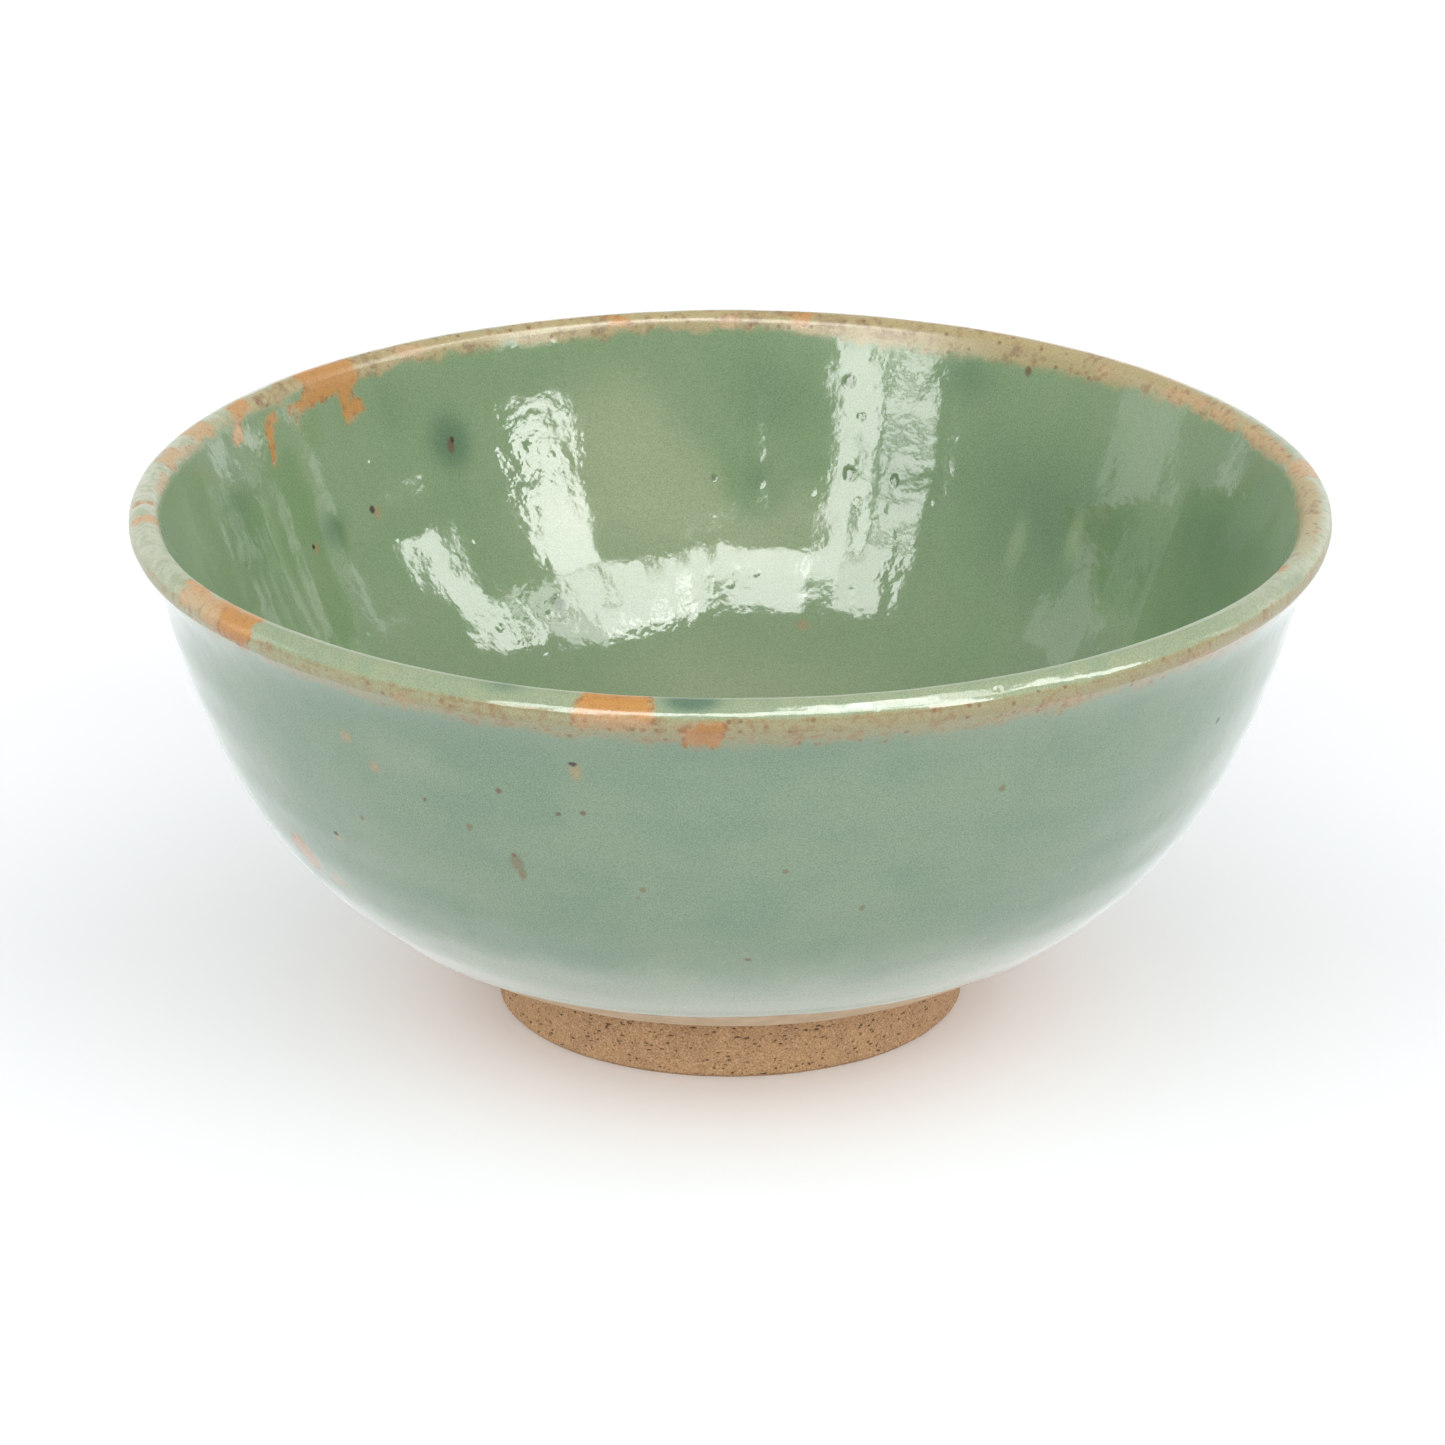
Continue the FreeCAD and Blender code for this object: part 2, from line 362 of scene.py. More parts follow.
# Clouds of deeper blue-green (positive) or of paler olive (negative) in the glaze: degrees,
# place along the outline, size round and along in mm, strength
CLOUDS = [
    (-146.8, inside_at(50.7), 3.0, 3.6, 1.0),
    (-127.0, inside_at(45.0), 2.6, 2.2, 0.75),
    (177.0, inside_at(42.3), 3.4, 3.2, 0.95),
    (176.0, inside_at(52.0), 9.0, 8.0, 0.55),
    (160.0, inside_at(44.0), 5.0, 7.0, 0.30),
    (-170.0, inside_at(42.0), 13.0, 9.0, -0.70),
    (-168.0, inside_at(53.0), 9.0, 6.0, -0.35),
    (-155.0, inside_at(40.0), 8.0, 8.0, -0.15),
    (174.0, inside_at(39.0), 9.0, 6.0, -0.60),
    (178.0, inside_at(21.0), 34.0, 9.0, -0.50),
    (104.0, inside_at(48.0), 15.0, 16.0, 0.55),
    (145.0, inside_at(46.0), 14.0, 12.0, 0.35),
    (130.0, inside_at(40.0), 16.0, 14.0, 0.40),
    (-110.0, inside_at(50.0), 7.0, 8.0, 0.45),
    (-140.0, inside_at(55.0), 3.0, 5.0, 0.35),
    (153.0, inside_at(57.5), 4.0, 3.0, 0.45),
    (142.0, inside_at(39.4), 0.9, 2.2, -0.75),
    (133.8, inside_at(42.3), 0.8, 2.0, -0.95),
    (-3.4, lip_at(88), 2.6, 1.1, 0.95),
    (-21.0, lip_at(95), 2.4, 0.9, 0.5),
    (66.0, lip_at(30), 4.0, 1.2, 0.45),
    (-31.3, outside_at(31.1), 1.6, 1.0, 0.40),
    (-31.3, outside_at(27.3), 1.2, 0.9, 0.40),
    (55.5, outside_at(38.8), 0.9, 1.3, 0.45),
    (10.0, outside_at(43.0), 26.0, 5.0, 0.15),
    (0.0, outside_at(28.0), 30.0, 4.0, 0.15),
    (-30.0, outside_at(50.0), 14.0, 4.0, -0.25),
    (-20.0, outside_at(20.5), 16.0, 5.5, -0.60),
]


# Where the glaze is dimpled like orange peel: degrees, along, size round and along in mm
DIMPLES = [
    (-154.0, inside_at(47.5), 4.5, 5.5, 1.0),
    (-163.5, inside_at(46.5), 2.5, 4.0, 0.8),
    (160.5, inside_at(56.0), 4.0, 4.5, 0.25),
    (-151.0, inside_at(30.0), 5.0, 4.0, 0.7),
    (-170.0, inside_at(28.0), 12.0, 3.0, 0.5),
    (158.0, inside_at(33.0), 3.0, 5.0, 0.5),
]


def dull_field(theta, q):
    """How dull the glaze is, from 0 to 1, over the sides and the inner edge of the lip."""
    over_lip = smooth_step(q, -1.0, 0.6) * smooth_step(q, LIP_LENGTH + 1.0, LIP_LENGTH - 0.6)
    side = 0.65 * smooth_step(np.abs(np.sin(theta)), 0.78, 0.93) * over_lip
    below_edge = smooth_step(q, 3.2, 4.2) * smooth_step(q, 9.0, 7.0)
    front = 0.45 * smooth_step(np.cos(theta), 0.0, 0.4) * below_edge
    return np.clip(side + front, 0.0, 1.0)


PATCH_REACH = -6.0
PATCH_BLEND = 0.9


def patch_field(theta, q):
    """Distance inside the nearest patch, in millimetres, and how strongly it shows."""
    deep = np.full(np.shape(theta), PATCH_REACH)
    strength = np.zeros(np.shape(theta))
    weights = np.full(np.shape(theta), 1e-9)
    for degrees, along, half_round, half_along, tilt, strong in PATCHES:
        field = round_box(theta, q, (degrees, along), (half_round, half_along), tilt)
        weight = np.exp(np.maximum(field, PATCH_REACH) / PATCH_BLEND)
        strength += weight * strong
        weights += weight
        deep = np.maximum(deep, field)
    return deep, strength / weights


def soft_field(theta, q, spots):
    """Sum of soft round spots, each as strong in its middle as its last number says."""
    total = np.zeros(np.shape(theta))
    for degrees, along, size_round, size_along, strong in spots:
        x = across(theta, degrees)
        total += strong * np.exp(-0.7 * ((x / size_round) ** 2 + ((q - along) / size_along) ** 2))
    return total


INNER_EDGE = 5.2
INNER_EDGE_WAVES = [(1, 0.5, 140.0), (3, 0.35, 130.0), (5, 0.35, 20.0), (9, 0.2, 0.0)]
OUTER_EDGE_WAVES = [(1, 1.0, 40.0), (3, 0.5, 0.0), (7, 0.4, 40.0)]


def thin_field(theta, q, place):
    """How thin the glaze has drawn where it runs off the edges of the lip, from 0 to 1."""
    ragged = 0.5 * noise(place, 5.0, 21, 2) + 0.4 * noise(place, 1.6, 22)
    ring = round_at(theta, LIP_RADIUS_MEAN, 0.0)
    runs = np.maximum(noise(ring, 1.3, 23, 2), -0.2)
    behind = smooth_step(-np.cos(theta - math.radians(-20.0)), -0.25, 0.35)
    width = 1.0 + 0.25 * waves(theta, OUTER_EDGE_WAVES)
    above = smooth_step(q + 0.3 * ragged, 2.3, 1.5)
    below = smooth_step(q + 1.2 * ragged, -2.9 * width, -0.1 * width)
    towards_front = 0.3 + 0.7 * smooth_step(np.cos(theta), -0.05, 0.4)
    outer_edge = above * below * towards_front * (0.75 + 0.25 * waves(theta, [(1, 1.0, 45.0)]))
    inner_width = 1.6 + waves(theta, INNER_EDGE_WAVES)
    from_edge = np.abs(q - INNER_EDGE - 0.6 * runs) + ragged
    inner_edge = 1 - smooth_step(from_edge, 0.45 * inner_width, 1.5 * inner_width)
    return np.clip(outer_edge + behind * inner_edge, 0.0, 1.0)


def side_field(theta):
    """How far round to the sides or the back a place is, from 0 to 1."""
    behind = smooth_step(-np.cos(theta), -0.45, 0.0)
    return 0.3 * behind + 0.7 * smooth_step(np.abs(np.sin(theta)), 0.75, 0.95)


def painted(theta, q, place):
    """Everything the glaze colours need to know about each place on the bowl."""
    patch, strength = patch_field(theta, q)
    return {
        "patch": patch,
        "strength": strength,
        "cloud": soft_field(theta, q, CLOUDS),
        "dimple": soft_field(theta, q, DIMPLES),
        "thin": thin_field(theta, q, place),
        "inner": smooth_step(q, 1.5, LIP_LENGTH + 1.5),
        "dull": dull_field(theta, q),
        "side": side_field(theta),
        "along": q,
        "below_glaze": np.clip(q - glaze_stop(theta), -9.0, 9.0),
    }


# ---------------------------------------------------------------- meshes

def make_piece(name, rows, seen, picture, paint, along):
    """Closed ring of rows of places (mm), the last row joined to the first. The first
    `seen` rows are the face that shows. picture is how many strips its baked picture is
    cut into, or "inward" or "outward" for a disc whose middle is its last or first row."""
    columns = rows[0].shape[0]
    pole = [np.ptp(row, axis=0).max() < 1e-6 for row in rows]
    index = np.arange(len(rows) * columns).reshape(len(rows), columns)
    for i, is_pole in enumerate(pole):
        if is_pole:
            index[i] = index[i, 0]
    # each pole row becomes one point
    used, index = np.unique(index, return_inverse=True)
    index = index.reshape(len(rows), columns)
    last = seen - 1
    total = len(rows) / last

    def picture_place(turn, down, strip, hidden):
        """Where a corner lies in the baked picture. Hidden faces get a small place of their own."""
        if picture in ("inward", "outward"):
            reach = 0.485 * (1 - down if picture == "inward" else down)
            middle = 0.5
            if hidden:
                reach, middle = 0.05 * (down - 1) / (total - 1), 0.94
            angle = 2 * math.pi * turn
            return middle + reach * math.sin(angle), middle + reach * math.cos(angle)
        if hidden:
            return 0.965 + 0.025 * turn, 0.02 + 0.9 * (down - 1) / (total - 1)
        return 0.01 + 0.93 * (turn * picture - strip), (strip + 0.03 + 0.94 * down) / picture

    faces, uvs, sheet = [], [], []
    for i in range(len(rows)):
        j = (i + 1) % len(rows)
        if pole[i] and pole[j]:
            continue
        for c in range(columns):
            d = (c + 1) % columns
            corners = [(i, c, c, i), (i, d, c + 1, i), (j, d, c + 1, i + 1), (j, c, c, i + 1)]
            if pole[i]:
                corners.pop(0)
            if pole[j]:
                corners.pop(2)
            faces.append([index[r, k] for r, k, _, _ in corners])
            strip = c * picture // columns if isinstance(picture, int) else 0
            for r, k, turned, step in corners:
                uvs.append(picture_place(turned / columns, step / last, strip, i >= last))
                sheet.append((arc(SEAM - 360.0 + 360.0 * turned / columns), along[r][k], 0.0))
    mesh = bpy.data.meshes.new(name)
    mesh.from_pydata((np.concatenate(rows)[used] * MM).tolist(), [], faces)
    mesh.update()
    for key, values in paint.items():
        values = np.concatenate(values)[used].astype(np.float32)
        mesh.attributes.new(key, "FLOAT", "POINT").data.foreach_set("value", values)
    places = mesh.attributes.new("sheet", "FLOAT_VECTOR", "CORNER")
    places.data.foreach_set("vector", np.ravel(sheet).astype(np.float32))
    mesh.uv_layers.new(name="OFBake").uv.foreach_set("vector", np.ravel(uvs).astype(np.float32))
    mesh.shade_smooth()
    # both borders of the face that shows are sharp
    ends = np.empty(len(mesh.edges) * 2, int)
    mesh.edges.foreach_get("vertices", ends)
    row_of = used[ends.reshape(-1, 2)] // columns
    rim = (row_of[:, 0] == row_of[:, 1]) & np.isin(row_of[:, 0], (0, last))
    mesh.attributes.new("sharp_edge", "BOOLEAN", "EDGE").data.foreach_set("value", rim)
    obj = bpy.data.objects.new(name, mesh)
    bpy.context.scene.collection.objects.link(obj)
    return obj


def columns_of(count):
    """Directions of the columns of a mesh, the first of them at the seam."""
    return np.radians(SEAM - 360.0 + np.arange(count) * 360.0 / count)


def skin_rows(theta, qs, lifts):
    """Rows of places at these distances along the outline, each raised by its lift."""
    rows, paints = [], []
    for q, lift in zip(qs, lifts):
        place, normal = surface(q * np.ones(len(theta)))
        out = round_at(theta, normal[:, 0], normal[:, 1])
        base = thrown(theta, place[:, 0], place[:, 1])
        q = q * np.ones(len(theta))
        rows.append(base + out * (wall_relief(theta, q, base) + lift)[:, None])
        paints.append(painted(theta, q, base))
    return rows, {key: [p[key] for p in paints] for key in paints[0]}


def skin(name, theta, front, back, front_lift, depth, picture):
    """Shell of glaze or slip: the face that shows, then its back this deep behind it."""
    rows, paint = skin_rows(theta, list(front) + list(back), list(front_lift) + [-depth] * len(back))
    return make_piece(name, rows, len(front), picture, paint, paint["along"])


# ---------------------------------------------------------------- the pieces

def along_rows(start, stop, count):
    """Evenly spaced distances along the outline between two, which may differ round the bowl."""
    return [start + (stop - start) * t for t in np.linspace(0.0, 1.0, count)]


SKIN_COLUMNS = 680
CORE_COLUMNS = 360
FOOT_COLUMNS = 960
OUTER_ROWS = 104
LIP_ROWS = 28
EDGE_ROUNDING = 0.62
SIDE_OF_INSIDE = 54.0
SLIP_OVERLAP = 0.9

theta = columns_of(SKIN_COLUMNS)
stop = glaze_stop(theta)
edge_steps = np.array([0.0, 0.05, 0.13, 0.25, 0.40, EDGE_ROUNDING, 0.95, 1.4, 1.9])
from_round = np.clip(1 - edge_steps / EDGE_ROUNDING, 0, 1)
round_off = -0.95 * OUTER_GLAZE * (1 - np.sqrt(1 - from_round**2))
bead = 0.10 * np.exp(-((edge_steps - 1.3) ** 2))
outer = skin(
    "outer_glaze_skin", theta,
    [stop + d for d in edge_steps] + along_rows(stop + 2.35, 0.0, OUTER_ROWS),
    along_rows(0.0, stop + 1.0, 12),
    list(round_off + bead) + [0.0] * OUTER_ROWS,
    OUTER_GLAZE, 3,
)
lip = skin(
    "lip_glaze_skin", theta,
    along_rows(0.0, LIP_LENGTH, LIP_ROWS), along_rows(LIP_LENGTH, 0.0, 10),
    [0.0] * LIP_ROWS, LIP_GLAZE, 8,
)
# closer rows down the side of the inside than over its floor
side_foot = LIP_LENGTH + SIDE_OF_INSIDE
inside_rows = along_rows(LIP_LENGTH, side_foot, 92)[:-1] + along_rows(side_foot, FLOOR_CENTRE, 38)
inner = skin(
    "inner_glaze_skin", theta,
    inside_rows, along_rows(FLOOR_CENTRE, LIP_LENGTH, 14),
    [0.0] * len(inside_rows), INNER_GLAZE, "inward",
)
slip = skin(
    "slip_skin", theta,
    along_rows(SKIRT_FROM, stop + SLIP_OVERLAP, 34), along_rows(stop + SLIP_OVERLAP, SKIRT_FROM, 5),
    [-0.12] * 30 + [-0.14, -0.2, -0.3, -0.36], SLIP_THICKNESS + 0.2, 3,
)


HIDDEN_GAP = 0.02


def clay_rows(theta):
    """Underside of the bowl inside the foot, then the hidden outside of the clay."""
    radii = np.linspace(0.0, FOOT_RADIUS - FOOT_RING_WIDTH - HIDDEN_GAP, 30)
    rows = []
    for radius in radii:
        rise = RECESS_RISE * (1 - (radius / radii[-1]) ** 2)
        place = thrown(theta, radius * np.ones(len(theta)), RECESS_HEIGHT + rise + 0 * theta)
        groove = 0.10 * math.sin(2 * math.pi * radius / 3.1) * min(1.0, radius / 3.0)
        place[:, 2] += groove + 0.05 * noise(place, 1.2, 31, 2)
        rows.append(place)
    for radius in (radii[-1], FOOT_RADIUS - 0.3):
        rows.append(thrown(theta, radius * np.ones(len(theta)), FOOT_HEIGHT + HIDDEN_GAP + 0 * theta))
    seen = len(radii)
    qs = along_rows(SKIRT_FROM + 0.3, GLAZE_STOP - 0.5, 8) + along_rows(GLAZE_STOP + 0.5, -0.3, 24)
    qs += along_rows(0.0, LIP_LENGTH, 10) + along_rows(LIP_LENGTH + 0.4, FLOOR_CENTRE, 40)
    coats = [SLIP_THICKNESS + 0.2] * 8 + [OUTER_GLAZE] * 24 + [LIP_GLAZE] * 10 + [INNER_GLAZE] * 40
    hidden, _ = skin_rows(theta, qs, [-coat - HIDDEN_GAP for coat in coats])
    return rows + hidden, seen


theta = columns_of(CORE_COLUMNS)
rows, seen = clay_rows(theta)
clay = make_piece("clay_core", rows, seen, "outward", {}, [0 * theta] * len(rows))


# ---------------------------------------------------------------- the foot ring

POCKS = 1500
FOOT_TAPER = 0.1
FOOT_BEVEL = 0.4


def foot_piece(name, columns):
    """The turned foot ring: gritty, with pocks that the trimming tool dragged sideways."""
    theta = columns_of(columns)
    bore = FOOT_RADIUS - FOOT_RING_WIDTH
    outer_edge, inner_edge = FOOT_RADIUS - FOOT_TAPER, bore + FOOT_DRAFT
    face = np.linspace(FOOT_HEIGHT - HIDDEN_GAP, FOOT_BEVEL, 46)
    flat = np.linspace(FOOT_RADIUS - 2 * FOOT_BEVEL, inner_edge + 2 * FOOT_BEVEL, 9)
    # each place in the section: radius, height, and the direction that it faces, out and up
    path = [(FOOT_RADIUS - FOOT_TAPER * (1 - z / FOOT_HEIGHT), z, 1.0, 0.0) for z in face]
    path += [(outer_edge - d, FOOT_BEVEL - d, 0.7, -0.7) for d in (0.12, 0.26, FOOT_BEVEL)]
    path += [(r, 0.0, 0.0, -1.0) for r in flat]
    path += [(inner_edge + d, FOOT_BEVEL - d, -0.7, -0.7) for d in (FOOT_BEVEL, 0.2, 0.0)]
    for z in np.linspace(0.9, RECESS_HEIGHT - 0.1, 12):
        path += [(bore + FOOT_DRAFT * (1 - z / FOOT_HEIGHT), z, -1.0, 0.0)]
    seen = len(path)
    path += [(bore + HIDDEN_GAP, FOOT_HEIGHT - HIDDEN_GAP, 0.0, 0.0)]
    # turned outside face first, so the ring runs the other way round its section
    path = path[:seen][::-1] + path[seen:]
    dice = np.random.default_rng(5)
    where = dice.uniform(0, 2 * math.pi, POCKS)
    high = dice.uniform(0.3, FOOT_HEIGHT - 0.3, POCKS)
    long = dice.uniform(0.10, 0.22, POCKS) * dice.choice([1.0, 1.0, 1.9], POCKS)
    tall = dice.uniform(0.07, 0.12, POCKS)
    deep = dice.uniform(0.05, 0.26, POCKS)
    rows, pocks = [], []
    for radius, height, out, up in path:
        oval = FOOT_OUT_OF_ROUND * (np.cos(2 * theta) + 1) * (out >= 0)
        base = thrown(theta, radius - oval, height * np.ones(columns))
        pock = np.zeros(columns)
        if out > 0.5:
            for w, h, l, t, d in zip(where, high, long, tall, deep):
                if abs(h - height) < 3 * t:
                    x = (np.mod(theta - w + math.pi, 2 * math.pi) - math.pi) * FOOT_RADIUS
                    pock = np.maximum(pock, d * np.exp(-((x / l) ** 2 + ((height - h) / t) ** 2)))
        grit = 0.030 * noise(base, 0.55, 41, 2) + 0.05 * noise(base, 3.0, 42) - pock
        if up < -0.5:
            grit = np.minimum(grit, 0.0)
        lift = (abs(out) + abs(up) > 0) * grit
        rows.append(base + round_at(theta, out, up) * lift[:, None])
        pocks.append(pock)
    along = [np.full(columns, z) for _, z, _, _ in path]
    return make_piece(name, rows, seen, 4, {"pock": pocks}, along)


foot = foot_piece("foot_ring_clay", FOOT_COLUMNS)


# ---------------------------------------------------------------- materials

BUMP_STRENGTH = 0.69


class Paint:
    """Builds one material's colours out of nodes. Distances are in millimetres."""

    def __init__(self, name):
        self.material = bpy.data.materials.new(name)
        self.material.use_nodes = True
        self.tree = self.material.node_tree
        self.surface = self.tree.nodes["Principled BSDF"]
        self.place = self.scaled(self.add("ShaderNodeTexCoord").outputs["Object"], 1 / MM)

    def add(self, kind, **settings):
        node = self.tree.nodes.new(kind)
        for key, value in settings.items():
            setattr(node, key, value)
        return node

    def put(self, socket, value):
        if isinstance(value, bpy.types.NodeSocket):
            self.tree.links.new(value, socket)
        elif isinstance(value, tuple) and len(value) == 3 and socket.type == "RGBA":
            socket.default_value = (*value, 1.0)
        else:
            socket.default_value = value

    def math(self, operation, a, b=0.0, clamp=False):
        node = self.add("ShaderNodeMath", operation=operation, use_clamp=clamp)
        self.put(node.inputs[0], a)
        self.put(node.inputs[1], b)
        return node.outputs[0]

    def vector(self, operation, a, b):
        node = self.add("ShaderNodeVectorMath", operation=operation)
        self.put(node.inputs[0], a)
        self.put(node.inputs[1], b)
        return node.outputs["Value" if operation == "LENGTH" else "Vector"]

    def scaled(self, a, factor):
        return self.vector("MULTIPLY", a, (factor, factor, factor))

    def attribute(self, name, output="Fac"):
        return self.add("ShaderNodeAttribute", attribute_name=name).outputs[output]

    def noise(self, size, detail=2.0, stretch=(1.0, 1.0, 1.0), output="Fac"):
        """Noise centred on 0 with features about this size."""
        node = self.add("ShaderNodeTexNoise")
        scale = tuple(s / size for s in stretch)
        self.put(node.inputs["Vector"], self.vector("MULTIPLY", self.place, scale))
        node.inputs["Scale"].default_value = 1.0
        node.inputs["Detail"].default_value = detail
        if output == "Color":
            return self.vector("SUBTRACT", node.outputs["Color"], (0.5, 0.5, 0.5))
        return self.math("SUBTRACT", node.outputs["Fac"], 0.5)

    def times(self, a, b):
        return self.math("MULTIPLY", a, b)

    def plus(self, a, b):
        return self.math("ADD", a, b)

    def step(self, value, low, high, start=0.0, end=1.0):
        node = self.add("ShaderNodeMapRange", interpolation_type="SMOOTHSTEP")
        for socket, number in zip(node.inputs, (value, low, high, start, end)):
            self.put(socket, number)
        return node.outputs["Result"]

    def mix(self, factor, a, b, blend="MIX"):
        node = self.add("ShaderNodeMix", data_type="RGBA", blend_type=blend)
        self.put(node.inputs[0], factor)
        self.put(node.inputs[6], a)
        self.put(node.inputs[7], b)
        return node.outputs[2]

    def cells(self, size, seed_shift=0.0):
        """Distance to the nearest of scattered dots, in mm, and a random number for each dot."""
        node = self.add("ShaderNodeTexVoronoi")
        shifted = self.vector("ADD", self.place, (seed_shift, seed_shift * 0.7, -seed_shift))
        self.put(node.inputs["Vector"], self.scaled(shifted, 1 / size))
        node.inputs["Scale"].default_value = 1.0
        split = self.add("ShaderNodeSeparateColor")
        self.put(split.inputs[0], node.outputs["Color"])
        return self.times(node.outputs["Distance"], size), split.outputs[0]

    def dots(self, size, solid, faded, rarity, seed_shift=0.0):
        """Round dots, solid and then faded out by these distances; rarity near 1 leaves few."""
        far, dice = self.cells(size, seed_shift)
        return self.times(self.step(far, solid, faded, 1.0, 0.0), self.step(dice, *rarity))

    def marks(self, listed, soft):
        """Where the listed marks lie: (degrees, along, half size round, half size along)."""
        wobble = self.scaled(self.noise(0.8, 2.0, output="Color"), 0.5)
        sheet = self.vector("ADD", self.attribute("sheet", "Vector"), wobble)
        nearest = None
        for degrees, along, half_round, half_along in listed:
            centre = (arc(from_seam(degrees)), along, 0.0)
            offset = self.vector("SUBTRACT", sheet, centre)
            in_sizes = self.vector("MULTIPLY", offset, (1 / half_round, 1 / half_along, 0.0))
            reach = self.vector("LENGTH", in_sizes, (0, 0, 0))
            nearest = reach if nearest is None else self.math("MINIMUM", nearest, reach)
        return self.step(nearest, 1 - soft, 1 + soft, 1.0, 0.0)

    def finish(self, colour, roughness, height=None):
        self.put(self.surface.inputs["Base Color"], colour)
        self.put(self.surface.inputs["Roughness"], roughness)
        if height is not None:
            bump = self.add("ShaderNodeBump")
            bump.inputs["Distance"].default_value = MM
            bump.inputs["Strength"].default_value = BUMP_STRENGTH
            self.put(bump.inputs["Height"], height)
            self.put(self.surface.inputs["Normal"], bump.outputs["Normal"])
        return self.material


CELADON = (0.172, 0.240, 0.158)
CELADON_DEEP = (0.145, 0.220, 0.145)
CELADON_HAZE = (0.245, 0.300, 0.220)
CELADON_CLOUD = (0.095, 0.165, 0.110)
CELADON_FLOOR_BOUNCE = (0.330, 0.380, 0.300)
SAGE = (0.172, 0.265, 0.130)
SAGE_WARM = (0.195, 0.275, 0.150)
SAGE_DEEP = (0.090, 0.170, 0.085)
SAGE_OLIVE = (0.285, 0.345, 0.200)
LIP_PALE = (0.300, 0.345, 0.205)
LIP_GREEN = (0.260, 0.330, 0.200)
LIP_CREAM_REFLECTION = (0.500, 0.510, 0.385)
EDGE_TAN = (0.400, 0.310, 0.145)
BAND_TAN = (0.262, 0.226, 0.112)
BAND_BROWN = (0.240, 0.145, 0.062)
ORANGE = (0.450, 0.215, 0.050)
ORANGE_PALE = (0.500, 0.320, 0.165)
ORANGE_IN_SHADE = (0.72, 0.68, 0.66)
BROWN = (0.180, 0.085, 0.030)
IRON = (0.030, 0.014, 0.008)
HALO = (0.33, 0.21, 0.10)
SMEAR = (0.150, 0.110, 0.048)
RUST = (0.11, 0.045, 0.020)
PIT_GREEN = (0.075, 0.105, 0.050)
SHEEN_TINT = (0.93, 0.98, 1.0, 1.0)
GLAZE_IOR = 1.6
SHEEN_ROUGHNESS = 0.35

# Marks in the glaze: degrees, place along the outline, half sizes round and along in mm
IRON_SPOTS = [
    (-14.8, outside_at(54.3), 0.55, 0.32), (-46.8, outside_at(36.9), 0.50, 0.32),
    (57.7, outside_at(47.8), 0.42, 0.42),
    (-134.0, inside_at(45.6), 0.42, 0.50), (-122.8, inside_at(44.2), 0.34, 0.36),
    (-147.0, inside_at(51.1), 0.36, 0.42),
]
RUST_SPOTS = [
    (-22.8, outside_at(49.5), 0.40, 0.36), (-14.3, outside_at(48.0), 0.34, 0.32),
    (-16.8, outside_at(47.5), 0.34, 0.26), (-22.4, outside_at(41.0), 0.28, 0.30),
    (-31.5, outside_at(46.3), 0.30, 0.30), (2.0, outside_at(27.8), 0.50, 0.30),
    (145.8, inside_at(59.3), 0.50, 0.60), (-146.7, inside_at(50.5), 0.55, 0.95),
]
HALOS = [
    (-14.6, outside_at(53.3), 0.75, 1.10),
    (-46.6, outside_at(36.3), 0.60, 0.50),
    (-134.6, inside_at(45.1), 0.70, 0.85), (-123.3, inside_at(43.9), 0.70, 0.75),
    (-40.0, outside_at(52.0), 0.80, 0.80), (-37.0, outside_at(49.0), 0.80, 0.70),
    (169.5, inside_at(27.5), 1.10, 0.70),
]
SMEARS = [
    (-22.2, outside_at(39.9), 0.85, 1.45), (-21.9, outside_at(38.6), 0.50, 1.10),
    (-26.8, outside_at(43.9), 0.42, 0.50), (-41.0, outside_at(41.0), 0.40, 0.40),
    (5.5, outside_at(41.0), 0.40, 0.30), (-9.0, outside_at(38.0), 0.45, 0.35),
    (14.0, outside_at(35.0), 0.40, 0.40), (27.0, outside_at(49.0), 0.50, 0.40),
]
PITS = [
    (166.5, inside_at(55.2), 0.70, 0.80), (165.5, inside_at(44.5), 0.75, 0.85),
    (159.8, inside_at(44.2), 0.55, 0.70),
    (-178.0, inside_at(43.4), 0.45, 0.45), (-156.5, inside_at(31.0), 1.30, 0.90),
]


